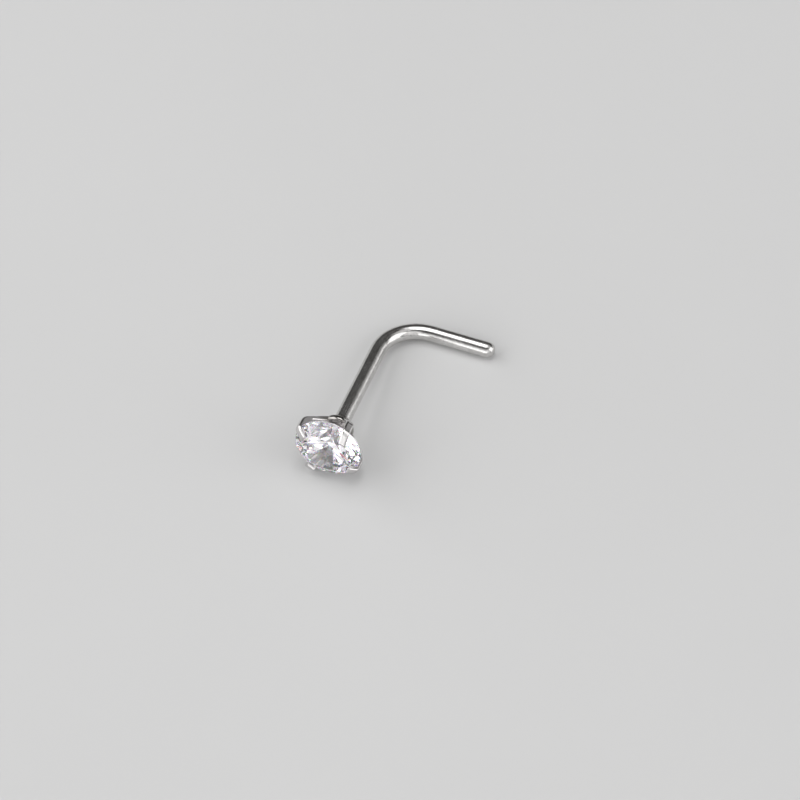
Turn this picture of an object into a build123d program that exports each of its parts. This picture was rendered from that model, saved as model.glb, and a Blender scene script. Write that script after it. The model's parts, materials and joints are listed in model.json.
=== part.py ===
from build123d import *
import math
import os

# Nose stud: a steel wire post with an L-bend, a four-prong setting soldered to its head, and a round
# brilliant stone. Millimetres, as it lies on a table at Z = 0: the leg along +X on the table, the
# post running from the bend towards -Y and rising to the head, which rests on its lowest prong, so
# that the stone's own table looks towards -Y and a little up. X = Y = 0 is the middle of the box round it.

# Wire
wire_diameter = 0.8
post_length = 9.2           # middle of the girdle to the corner where the axes of post and leg meet
leg_length = 5.35           # that corner to the end of the leg
bend_radius = 2.1           # of the wire's centre line
tip_rounding = 0.38         # of the leg's free end, nearly a half ball

# Stone: a standard 57-facet round brilliant
stone_diameter = 3.4
main_facets = 8
table_ratio = 0.60          # table, corner to corner, to the stone's diameter
crown_angle = 34.5          # bezel facets, from the girdle's plane
star_ratio = 0.5            # how far the star facets reach from the table's edge to the girdle
pavilion_angle = 40.75      # pavilion mains, from the girdle's plane
lower_half_ratio = 0.77     # how far the lower girdle facets reach from the girdle to the culet
stone_turn = 15             # first bezel facet, round the axis, from the leg's direction
girdle_thickness = 0.10     # where the tips of the bezels and the pavilion mains meet it

# Setting: a small cup with four prongs; levels are along its axis, from the middle of the girdle
prong_width = 0.42
prong_reach = 1.86          # outside of a prong beside the girdle, from the axis
prong_edge = 0.10           # rounding of a prong's long edges
push_rounding = 0.4         # of the bend where a claw is pushed to one side
arm_thickness = 0.28        # of a prong between the cup and the seat
arm_rounding = 0.16         # of its long edges on the stone's side
shoulder_level = -0.55      # where a prong's outside turns in towards the cup
shoulder_rounding = 0.5
fold_level = 0.24           # where it folds in over the crown
fold_rounding = 0.35
claw_angle = 34             # of the top of a claw, from the girdle's plane
seat_gap = 0.02             # clearance between stone and metal all round
seat_width = 0.30           # of the ledge under the stone's edge
cup_radius = 0.78
cup_wall = 0.26
cup_rim = -1.25
cup_shoulder = -1.50        # where the cup's outside turns in towards the wire
cup_floor = -1.56
cup_floor_radius = 0.2
cup_foot = -1.95            # where the cup meets the wire
cup_rounding = 0.12

# The prongs, bent over the stone by hand: where each stands round the axis, from the leg's direction, how
# far from the axis its claw ends, and how far that end is pushed to one side
prongs = (
    (60, 1.22, -0.24),
    (150, 1.24, 0),
    (240, 1.24, 0),
    (330, 1.34, 0),
)

wire_radius = wire_diameter / 2
stone_radius = stone_diameter / 2
table_radius = table_ratio * stone_radius
half_girdle = girdle_thickness / 2
half_step = 180 / main_facets           # angle from the middle of a main facet to its side tips


def slope(angle):
    """Rise for each millimetre of run on a face this many degrees from level."""
    return math.tan(math.radians(angle))


table_level = half_girdle + (stone_radius - table_radius) * slope(crown_angle)
culet_level = -half_girdle - stone_radius * slope(pavilion_angle)


def facet(azimuth, reach, level, steepness):
    """Plane of one facet, through a point `reach` from the axis at `level`, facing away from the stone."""
    outward = Vector(1, 0, 0).rotate(Axis.Z, azimuth)
    lean = math.radians(steepness)
    upward = Vector(0, 0, math.copysign(math.cos(lean), level))
    return Plane(origin=outward * reach + Vector(0, 0, level), z_dir=outward * math.sin(lean) + upward)


def brilliant_facets():
    """The 56 facets round a brilliant, all but the table."""
    cos_half = math.cos(math.radians(half_step))
    cos_quarter = math.cos(math.radians(half_step / 2))
    edge_reach = stone_radius * cos_quarter
    # A star facet hangs from a side of the table and ends between two bezels
    table_side = table_radius * cos_half
    star_tip = table_side + star_ratio * (stone_radius - table_side)
    star_drop = slope(crown_angle) * (star_tip * cos_half - table_radius)
    star_angle = math.degrees(math.atan2(star_drop, star_tip - table_side))
    # An upper girdle facet spans from that end to two tips on the girdle
    upper_rise = table_level - half_girdle - star_drop
    upper_angle = math.degrees(math.atan2(upper_rise, edge_reach - star_tip * cos_quarter))
    # A lower girdle facet spans from two tips on the girdle to a point near the culet
    lower_tip = (1 - lower_half_ratio) * stone_radius
    lower_drop = slope(pavilion_angle) * (stone_radius - lower_tip * cos_half)
    lower_angle = math.degrees(math.atan2(lower_drop, edge_reach - lower_tip * cos_quarter))
    for number in range(main_facets):
        main = stone_turn + number * 2 * half_step
        yield facet(main, stone_radius, half_girdle, crown_angle)
        yield facet(main + half_step, table_side, table_level, star_angle)
        yield facet(main, stone_radius, -half_girdle, pavilion_angle)
        for side in (-half_step / 2, half_step / 2):
            yield facet(main + side, edge_reach, half_girdle, upper_angle)
            yield facet(main + side, edge_reach, -half_girdle, lower_angle)


# The cut stone by itself, table up, the middle of its girdle at the origin
with BuildPart() as brilliant:
    with Locations((0, 0, culet_level)):
        Cylinder(stone_radius, table_level - culet_level, align=(Align.CENTER, Align.CENTER, Align.MIN))
    for cut in brilliant_facets():
        split(bisect_by=cut, keep=Keep.BOTTOM)

# One prong up to the girdle by itself, in the same frame, along +X: its outside, then its inside down the
# stone's edge, under the seat's ledge and down the arm
crown_clear = seat_gap / math.cos(math.radians(crown_angle))
pavilion_clear = seat_gap / math.cos(math.radians(pavilion_angle))
seat_end = stone_radius - seat_width
seat_under = -half_girdle - seat_width * slope(pavilion_angle) - pavilion_clear
arm_angle = math.degrees(math.atan2(shoulder_level - cup_shoulder, prong_reach - cup_radius))
arm_top = shoulder_level - (prong_reach - seat_end) * slope(arm_angle)
arm_top += arm_thickness / math.cos(math.radians(arm_angle))
with BuildPart() as arm:
    with BuildSketch(Plane.XZ):
        with BuildLine():
            FilletPolyline(
                (cup_radius, cup_shoulder),
                (prong_reach, shoulder_level),
                (prong_reach, 0),
                radius=shoulder_rounding,
            )
            Polyline(
                (prong_reach, 0),
                (stone_radius + seat_gap, 0),
                (stone_radius + seat_gap, -half_girdle - pavilion_clear),
                (seat_end, seat_under),
                (seat_end, arm_top),
                (cup_radius - cup_wall, cup_rim),
                (cup_radius - cup_wall, cup_shoulder),
                (cup_radius, cup_shoulder),
            )
        make_face()
    extrude(amount=prong_width / 2, both=True)
    fillet(arm.edges().filter_by(Axis.Z).group_by(Axis.X)[-1], prong_edge)
    arm_middle = Vector(seat_end + cup_radius - cup_wall, 0, arm_top + cup_rim) / 2
    for side in (-1, 1):
        beside_middle = arm_middle + Vector(0, side * prong_width / 2, 0)
        fillet(arm.edges().sort_by_distance(beside_middle)[0], arm_rounding)


def claw(reach, push):
    """The rest of that prong, from the girdle: it ends `reach` from the axis, `push` to one side."""
    end_level = fold_level + (prong_reach - reach) * slope(claw_angle)
    under_level = half_girdle + (stone_radius - reach) * slope(crown_angle) + crown_clear
    half_width = prong_width / 2
    push_start = prong_reach - prong_edge
    with BuildPart() as built:
        with BuildSketch(Plane.XZ):
            with BuildLine():
                FilletPolyline(
                    (prong_reach, 0),
                    (prong_reach, fold_level),
                    (reach, end_level),
                    radius=fold_rounding,
                )
                Polyline(
                    (reach, end_level),
                    (reach, under_level),
                    (stone_radius + seat_gap, half_girdle + crown_clear),
                    (stone_radius + seat_gap, 0),
                    (prong_reach, 0),
                )
            make_face()
        extrude(amount=half_width + abs(push), both=True)
        # Seen from above: straight beside the girdle, then off to one side
        with BuildSketch() as plan:
            with BuildLine():
                Polyline(
                    (prong_reach, half_width),
                    (push_start, half_width),
                    (reach, push + half_width),
                    (reach, push - half_width),
                    (push_start, -half_width),
                    (prong_reach, -half_width),
                    close=True,
                )
            make_face()
            if push:
                fillet(plan.vertices().group_by(Axis.X)[1], push_rounding)
        extrude(amount=end_level, mode=Mode.INTERSECT)
        outer_edges = built.edges().filter_by(Axis.Z).group_by(Axis.X)[-1]
        end_edge = built.edges().filter_by(Axis.Y).group_by(Axis.Z)[-1]
        fillet(outer_edges + end_edge, prong_edge)
    return built.part


# The setting by itself, in the same frame: the cup, hollow under the culet, and its prongs
with BuildPart() as setting:
    with BuildSketch(Plane.XZ) as cup_section:
        with BuildLine():
            Polyline(
                (0, cup_floor),
                (cup_floor_radius, cup_floor),
                (cup_radius - cup_wall, cup_rim),
                (cup_radius, cup_rim),
                (cup_radius, cup_shoulder),
                (wire_radius, cup_foot),
                (0, cup_foot),
                close=True,
            )
        make_face()
        fillet(cup_section.vertices().group_by(Axis.X)[-1], cup_rounding)
    revolve(axis=Axis.Z)
    for turn, reach, push in prongs:
        with Locations(Rotation(0, 0, turn)):
            add(arm.part)
            add(claw(reach, push))

# How far the stud tips when the leg lies flat and its head touches the table. The head's reach below the
# post's axis changes a little with the tilt itself, so the two are settled in turn.
tilt = 0
for _ in range(4):
    head_boxes = [
        piece.part.rotate(Axis.X, 90 - tilt).bounding_box()
        for piece in (setting, brilliant)
    ]
    head_low = min(box.min.Z for box in head_boxes)
    tilt = math.degrees(math.asin((-head_low - wire_radius) / post_length))

post_direction = Vector(0, -1, 0).rotate(Axis.X, -tilt)
to_head = post_direction * post_length
head_left = min(box.min.X for box in head_boxes)
head_front = min(box.min.Y for box in head_boxes)
bend_corner = Vector(-(head_left + leg_length) / 2, -(to_head.Y + head_front + wire_radius) / 2, wire_radius)
head = Plane(origin=bend_corner + to_head, x_dir=(1, 0, 0), z_dir=post_direction)

# Wire and setting are soldered, so they are one solid
with BuildPart() as post_and_setting:
    with BuildLine():
        wire_start = bend_corner + post_direction * (post_length + (cup_floor + cup_foot) / 2)
        leg_end = bend_corner + Vector(leg_length, 0, 0)
        FilletPolyline(wire_start, bend_corner, leg_end, radius=bend_radius)
    with BuildSketch(Plane(origin=wire_start, z_dir=-post_direction)):
        Circle(wire_radius)
    sweep()
    fillet(post_and_setting.faces().sort_by(Axis.X)[-1].edges(), tip_rounding)
    with Locations(head):
        add(setting.part)

with BuildPart() as stone:
    with Locations(head):
        add(brilliant.part)

os.makedirs("parts", exist_ok=True)
post_and_setting.part.label = "post_and_setting"
stone.part.label = "stone"
export_step(post_and_setting.part, "parts/post_and_setting.step")
export_step(stone.part, "parts/stone.step")
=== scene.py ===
import json
import math

import bpy
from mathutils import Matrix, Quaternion, Vector


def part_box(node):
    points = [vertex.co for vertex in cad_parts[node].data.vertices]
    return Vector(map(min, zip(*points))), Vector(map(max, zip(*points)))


# Nose stud, lying on a pale table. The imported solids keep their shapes; this script gives them polished
# steel and cut zirconia, and sets up the table, the lights and the camera. Metres, in the row's frame.

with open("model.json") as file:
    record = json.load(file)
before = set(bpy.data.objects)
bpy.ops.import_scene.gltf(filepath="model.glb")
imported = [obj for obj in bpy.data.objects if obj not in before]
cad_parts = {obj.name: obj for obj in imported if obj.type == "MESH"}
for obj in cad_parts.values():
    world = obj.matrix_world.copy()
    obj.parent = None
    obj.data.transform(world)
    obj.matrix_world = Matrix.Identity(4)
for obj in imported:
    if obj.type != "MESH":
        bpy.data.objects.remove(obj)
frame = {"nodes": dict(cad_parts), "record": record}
bpy.context.view_layer.update()

MM = 0.001

# Shape that the finish of the metal follows
BEND_RADIUS = 2.1 * MM      # of the wire's centre line
CUP_FOOT = -1.95 * MM       # where the setting meets the wire, along the post's axis from the girdle
CUP_RIM = -1.25 * MM
FOOT_BLEND = 0.03 * MM      # each side of the foot, from the wire's finish to the setting's
CUP_SHADE_BLEND = (0.02 * MM, 0.30 * MM)      # above the rim, from the cup's painted shade to the prongs' colour

# Steel: darkest and lightest colour, lowest and highest roughness
WIRE_COLOURS = [(0.53, 0.52, 0.51, 1), (0.74, 0.73, 0.72, 1)]
CAST_COLOURS = [(0.62, 0.60, 0.60, 1), (0.70, 0.685, 0.685, 1)]
CUP_SHADE_COLOUR = (0.38, 0.365, 0.35, 1)        # painted shade: darker than the prongs, as if the cup lay in shadow and reflected the dark room
WIRE_ROUGHNESS = (0.13, 0.23)
CAST_ROUGHNESS = (0.11, 0.20)
WORN_ROUGHNESS = 0.06       # more than that on worn patches

# Its textures, in repeats per metre
DRAW_MARKS = 16 / MM        # fine lines along the wire
SOFT_MARKS = 5 / MM         # broad, shallow lines beside them
SCRATCHES = 12 / MM         # short ones, from handling
GRAIN = 28 / MM             # of the cast setting
PATCHES = 0.9 / MM          # of wear

# How those textures are used
FINE_NOISE = {"detail": 3.0, "roughness": 0.6}      # for the draw marks, scratches and grain
NOISE_RANGE = (0.3, 0.7)    # that most of a noise texture's values lie in
WORN_RANGE = (0.3, 0.75)    # of the patches' values, from unworn to worn
DRAW_STRETCH = 0.012        # repeats along the wire, for each one across it
SCRATCH_STRETCH = 0.4
SCRATCHED_SHARE = 0.7       # of the wire's change of colour; patches make the rest
DRAW_DEPTH = 0.4            # next to the soft marks' depth
SCRATCH_DEPTH = 1.6
BUMP_DEPTH = 0.0008 * MM

# Stone
ZIRCONIA_COLOUR = (0.995, 0.990, 1.0)       # clear, with a faint lavender tint
ZIRCONIA_IOR = 2.165
FIRE = [                    # shares of red, green and blue, and the refraction of each
    ((0.6, 0.2, 0.2), 2.152),
    ((0.2, 0.6, 0.2), 2.163),
    ((0.2, 0.2, 0.6), 2.182),
]
FROSTED_COLOUR = (0.99, 0.985, 0.995)
FROSTED_ROUGHNESS = 0.4
GIRDLE_BLEND = (0.015 * MM, 0.0075 * MM)        # inside the girdle's radius, from polished to frosted

# Softboxes, seen from the stud: azimuth 0 is the front, -Y, and 90 is +X, and a box is turned about the
# line to the stud. Angles in degrees, sizes in metres.
# name: azimuth, elevation, distance, width, height, turn, radiance
SOFTBOXES = {
    "overhead": (-153, 78, 0.40, 0.30, 0.18, 82, 2.9),
    "top_right": (112, 66, 0.45, 0.30, 0.18, 0, 0.65),
    "left": (-78, 30, 0.45, 0.62, 0.50, 0, 2.1),
    "front": (-13, 11.5, 0.50, 0.65, 0.196, 0, 2.2),
    "front_upper": (-13, 33, 0.50, 0.60, 0.18, 0, 0.85),
    "fill": (43, 30, 0.50, 0.39, 0.50, 0, 0.85),
    "right": (94, 26, 0.45, 0.34, 0.44, 0, 1.8),
    "back_right": (131, 6, 0.45, 0.28, 0.08, 0, 1.15),
    "back_right_middle": (137, 16, 0.45, 0.24, 0.08, 0, 0.6),
    "back_right_top": (146, 27, 0.45, 0.24, 0.09, 0, 0.26),
}
ROOM_COLOUR = (1.0, 0.98, 0.96, 1)
ROOM_RADIANCE = 0.08

# Table
TABLE_SIDE = 2.0
TABLE_COLOURS = [(0.58, 0.58, 0.58, 1), (0.61, 0.61, 0.61, 1)]
TABLE_MOTTLE = 40           # repeats per metre
TABLE_ROUGHNESS = 0.5
TABLE_GLOSS = 0.1

# Camera: seen from the stud as the softboxes are, its lens and sensor in millimetres
CAMERA_TARGET = Vector((0.285, 0.026, 0.925)) * MM
CAMERA_AZIMUTH = 19.9
CAMERA_ELEVATION = 53.78
CAMERA_DISTANCE = 0.5263
CAMERA_LENS = 484.5
SENSOR_WIDTH = 36.0
CLIP_START = 0.01

# How often light may bounce, enough for the paths inside a brilliant
STONE_BOUNCES = 32
GLOSSY_BOUNCES = 12

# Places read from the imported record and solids
mounts = {mount["name"]: mount for mount in frame["record"]["mounts"]}
leg_point = Vector(mounts["leg"]["pos_m"])
leg_axis = Vector(mounts["leg"]["axis"])
post_point = Vector(mounts["post"]["pos_m"])
post_axis = Vector(mounts["post"]["axis"])
corner = Vector((post_point.x, leg_point.y, leg_point.z))   # where the axes of leg and post meet
stone_low, stone_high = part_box("stone")
girdle_height = (stone_low.z + stone_high.z) / 2
girdle_radius = (stone_high.x - stone_low.x) / 2
head_reach = (girdle_height - corner.z) / post_axis.z       # along the post, from the corner to the girdle


# ---------------------------------------------------------------- node helpers

class Nodes:
    """Adds nodes to one material's tree; every method but add and finish returns an output socket."""

    def __init__(self, name):
        self.material = bpy.data.materials.new(name)
        self.material.use_nodes = True
        self.tree = self.material.node_tree
        self.tree.nodes.clear()
        self.output = self.tree.nodes.new("ShaderNodeOutputMaterial")

    def add(self, kind, inputs=None, **settings):
        node = self.tree.nodes.new(kind)
        for name, value in settings.items():
            setattr(node, name, value)
        for name, value in (inputs or {}).items():
            if isinstance(value, bpy.types.NodeSocket):
                self.tree.links.new(value, node.inputs[name])
            else:
                node.inputs[name].default_value = value
        return node

    def position(self):
        """Place on the stud or the table, in the row's frame."""
        return self.add("ShaderNodeTexCoord").outputs["Object"]

    def math(self, operation, *values):
        return self.add("ShaderNodeMath", dict(enumerate(values)), operation=operation).outputs[0]

    def vector_math(self, operation, *values):
        node = self.add("ShaderNodeVectorMath", dict(enumerate(values)), operation=operation)
        return node.outputs["Value" if operation in ("DOT_PRODUCT", "LENGTH") else "Vector"]

    def combine(self, x, y, z):
        return self.add("ShaderNodeCombineXYZ", {"X": x, "Y": y, "Z": z}).outputs[0]

    def noise(self, vector, scale, detail=2.0, roughness=0.5):
        inputs = {"Vector": vector, "Scale": scale, "Detail": detail, "Roughness": roughness}
        return self.add("ShaderNodeTexNoise", inputs).outputs["Fac"]

    def remap(self, value, low, high, to_low, to_high):
        """Value's range low..high brought to to_low..to_high, smoothly and held at both ends."""
        inputs = {"Value": value, "From Min": low, "From Max": high, "To Min": to_low, "To Max": to_high}
        return self.add("ShaderNodeMapRange", inputs, interpolation_type="SMOOTHSTEP").outputs[0]

    def spread(self, noise, low=0.0, high=1.0):
        """A noise's values spread over low..high."""
        return self.remap(noise, *NOISE_RANGE, low, high)

    def mix(self, factor, a, b):
        return self.add("ShaderNodeMix", {0: factor, 2: a, 3: b}, data_type="FLOAT").outputs[0]

    def mix_colour(self, factor, a, b):
        return self.add("ShaderNodeMix", {0: factor, 6: a, 7: b}, data_type="RGBA").outputs[2]

    def mix_shader(self, factor, a, b):
        return self.add("ShaderNodeMixShader", {0: factor, 1: a, 2: b}).outputs[0]

    def add_shader(self, a, b):
        return self.add("ShaderNodeAddShader", {0: a, 1: b}).outputs[0]

    def glass(self, colour, roughness, ior):
        inputs = {"Color": (*colour, 1), "Roughness": roughness, "IOR": ior}
        return self.add("ShaderNodeBsdfGlass", inputs).outputs[0]

    def bump(self, height, distance):
        return self.add("ShaderNodeBump", {"Height": height, "Distance": distance}).outputs[0]

    def finish(self, shader):
        self.tree.links.new(shader, self.output.inputs["Surface"])
        return self.material


# ---------------------------------------------------------------- materials

def steel_material():
    """Polished wire, its draw marks following it round the bend, with short scratches, and a cast setting
    with painted shade on its cup.
    """
    n = Nodes("polished_steel")
    position = n.position()
    from_corner = n.vector_math("SUBTRACT", position, corner)
    along_leg = n.vector_math("DOT_PRODUCT", from_corner, leg_axis)
    along_post = n.vector_math("DOT_PRODUCT", from_corner, post_axis)
    across_plane = n.vector_math("DOT_PRODUCT", from_corner, leg_axis.cross(post_axis))

    # Offset from the wire's centre line, towards the inside of the bend
    short_of_leg = n.math("MAXIMUM", n.math("SUBTRACT", BEND_RADIUS, along_leg), 0.0)
    short_of_post = n.math("MAXIMUM", n.math("SUBTRACT", BEND_RADIUS, along_post), 0.0)
    from_centre = n.vector_math("LENGTH", n.combine(short_of_leg, short_of_post, 0.0))
    offset = n.math("SUBTRACT", BEND_RADIUS, from_centre)
    along_wire = n.math("SUBTRACT", along_leg, along_post)

    # 0 on the wire, 1 on the setting
    level = n.math("SUBTRACT", along_post, head_reach)
    on_setting = n.remap(level, CUP_FOOT - FOOT_BLEND, CUP_FOOT + FOOT_BLEND, 0.0, 1.0)

    # Marks on the wire: noise that is drawn out along it
    drawn = n.combine(offset, across_plane, n.math("MULTIPLY", along_wire, DRAW_STRETCH))
    draw_marks = n.noise(drawn, DRAW_MARKS, **FINE_NOISE)
    soft_marks = n.noise(drawn, SOFT_MARKS)
    handled = n.combine(offset, across_plane, n.math("MULTIPLY", along_wire, SCRATCH_STRETCH))
    scratches = n.noise(handled, SCRATCHES, **FINE_NOISE)
    grain = n.noise(position, GRAIN, **FINE_NOISE)
    patches = n.noise(position, PATCHES, detail=4.0, roughness=0.55)

    shade = n.spread(patches)
    wire_shade = n.mix(SCRATCHED_SHARE, shade, n.spread(scratches))
    wire_colour = n.mix_colour(wire_shade, *WIRE_COLOURS)
    # Painted shade: the cup, and the prongs just above its rim, made darker as if in shadow
    cup_shade = n.remap(level, CUP_RIM + CUP_SHADE_BLEND[0], CUP_RIM + CUP_SHADE_BLEND[1], 1.0, 0.0)
    cast_colour_and_cup_shade = n.mix_colour(cup_shade, n.mix_colour(shade, *CAST_COLOURS), CUP_SHADE_COLOUR)
    colour = n.mix_colour(on_setting, wire_colour, cast_colour_and_cup_shade)

    worn = n.remap(patches, *WORN_RANGE, 0.0, WORN_ROUGHNESS)
    wire_rough = n.math("ADD", n.spread(draw_marks, *WIRE_ROUGHNESS), worn)
    cast_rough = n.math("ADD", n.spread(grain, *CAST_ROUGHNESS), worn)
    rough = n.mix(on_setting, wire_rough, cast_rough)

    marks = n.math("ADD", n.math("MULTIPLY", draw_marks, DRAW_DEPTH), soft_marks)
    marks = n.math("ADD", marks, n.math("MULTIPLY", scratches, SCRATCH_DEPTH))
    normal = n.bump(n.mix(on_setting, marks, grain), BUMP_DEPTH)

    shader = n.add(
        "ShaderNodeBsdfPrincipled",
        {"Base Color": colour, "Metallic": 1.0, "Roughness": rough, "Normal": normal},
    )
    return n.finish(shader.outputs[0])


def zirconia_material():
    """Clear cut zirconia with a frosted girdle. To the camera it splits colours a little, for fire."""
    n = Nodes("cut_zirconia")
    clear = n.glass(ZIRCONIA_COLOUR, 0.0, ZIRCONIA_IOR)
    red, green, blue = [
        n.glass([share * tint for share, tint in zip(shares, ZIRCONIA_COLOUR)], 0.0, ior)
        for shares, ior in FIRE
    ]
    fire = n.add_shader(n.add_shader(red, green), blue)
    first_hit = n.add("ShaderNodeLightPath").outputs["Is Camera Ray"]
    polished = n.mix_shader(first_hit, clear, fire)

    # The girdle is the only surface this far from the axis
    from_corner = n.vector_math("SUBTRACT", n.position(), corner)
    from_axis = n.vector_math("LENGTH", n.vector_math("CROSS_PRODUCT", from_corner, post_axis))
    on_girdle = n.remap(from_axis, girdle_radius - GIRDLE_BLEND[0], girdle_radius - GIRDLE_BLEND[1], 0.0, 1.0)
    frosted = n.glass(FROSTED_COLOUR, FROSTED_ROUGHNESS, ZIRCONIA_IOR)
    return n.finish(n.mix_shader(on_girdle, polished, frosted))


def table_material():
    """Smooth, pale and matt, with a faint mottle."""
    n = Nodes("pale_table")
    mottle = n.noise(n.position(), TABLE_MOTTLE, detail=4.0)
    colour = n.mix_colour(mottle, *TABLE_COLOURS)
    shader = n.add(
        "ShaderNodeBsdfPrincipled",
        {"Base Color": colour, "Roughness": TABLE_ROUGHNESS, "Specular IOR Level": TABLE_GLOSS},
    )
    return n.finish(shader.outputs[0])


# ---------------------------------------------------------------- table, lights and camera

def direction(azimuth, elevation):
    """Unit vector from the stud at this azimuth and elevation."""
    turn = math.radians(azimuth)
    rise = math.radians(elevation)
    return Vector((math.sin(turn) * math.cos(rise), -math.cos(turn) * math.cos(rise), math.sin(rise)))


def add_table():
    """A level square at Z = 0, that the stud lies on."""
    mesh = bpy.data.meshes.new("table")
    half = TABLE_SIDE / 2
    corners = [(-half, -half, 0), (half, -half, 0), (half, half, 0), (-half, half, 0)]
    mesh.from_pydata(corners, [], [(0, 1, 2, 3)])
    mesh.materials.append(table_material())
    table = bpy.data.objects.new("table", mesh)
    bpy.context.scene.collection.objects.link(table)


def add_softbox(name, azimuth, elevation, distance, width, height, turn, radiance):
    """A rectangular light that faces the stud."""
    light = bpy.data.lights.new(name, "AREA")
    light.shape = "RECTANGLE"
    light.size = width
    light.size_y = height
    light.energy = radiance * math.pi * width * height
    softbox = bpy.data.objects.new(name, light)
    softbox.location = direction(azimuth, elevation) * distance
    facing = softbox.location.to_track_quat("Z", "Y")
    softbox.rotation_euler = (facing @ Quaternion((0, 0, 1), math.radians(turn))).to_euler()
    softbox.visible_camera = False
    bpy.context.scene.collection.objects.link(softbox)


def add_room():
    """A dim, even room behind the softboxes."""
    world = bpy.data.worlds.new("room")
    world.use_nodes = True
    background = world.node_tree.nodes["Background"]
    background.inputs["Color"].default_value = ROOM_COLOUR
    background.inputs["Strength"].default_value = ROOM_RADIANCE
    bpy.context.scene.world = world


def add_camera():
    data = bpy.data.cameras.new("camera")
    data.lens = CAMERA_LENS
    data.sensor_width = SENSOR_WIDTH
    data.clip_start = CLIP_START
    camera = bpy.data.objects.new("camera", data)
    back = direction(CAMERA_AZIMUTH, CAMERA_ELEVATION)
    camera.location = CAMERA_TARGET + back * CAMERA_DISTANCE
    camera.rotation_euler = back.to_track_quat("Z", "Y").to_euler()
    bpy.context.scene.collection.objects.link(camera)
    bpy.context.scene.camera = camera


frame["nodes"]["post_and_setting"].material_slots[0].material = steel_material()
frame["nodes"]["stone"].material_slots[0].material = zirconia_material()
add_table()
for softbox_name, values in SOFTBOXES.items():
    add_softbox(softbox_name, *values)
add_room()
add_camera()

scene = bpy.context.scene
scene.view_settings.view_transform = "Standard"
scene.cycles.max_bounces = STONE_BOUNCES
scene.cycles.transmission_bounces = STONE_BOUNCES
scene.cycles.glossy_bounces = GLOSSY_BOUNCES

bpy.context.view_layer.update()
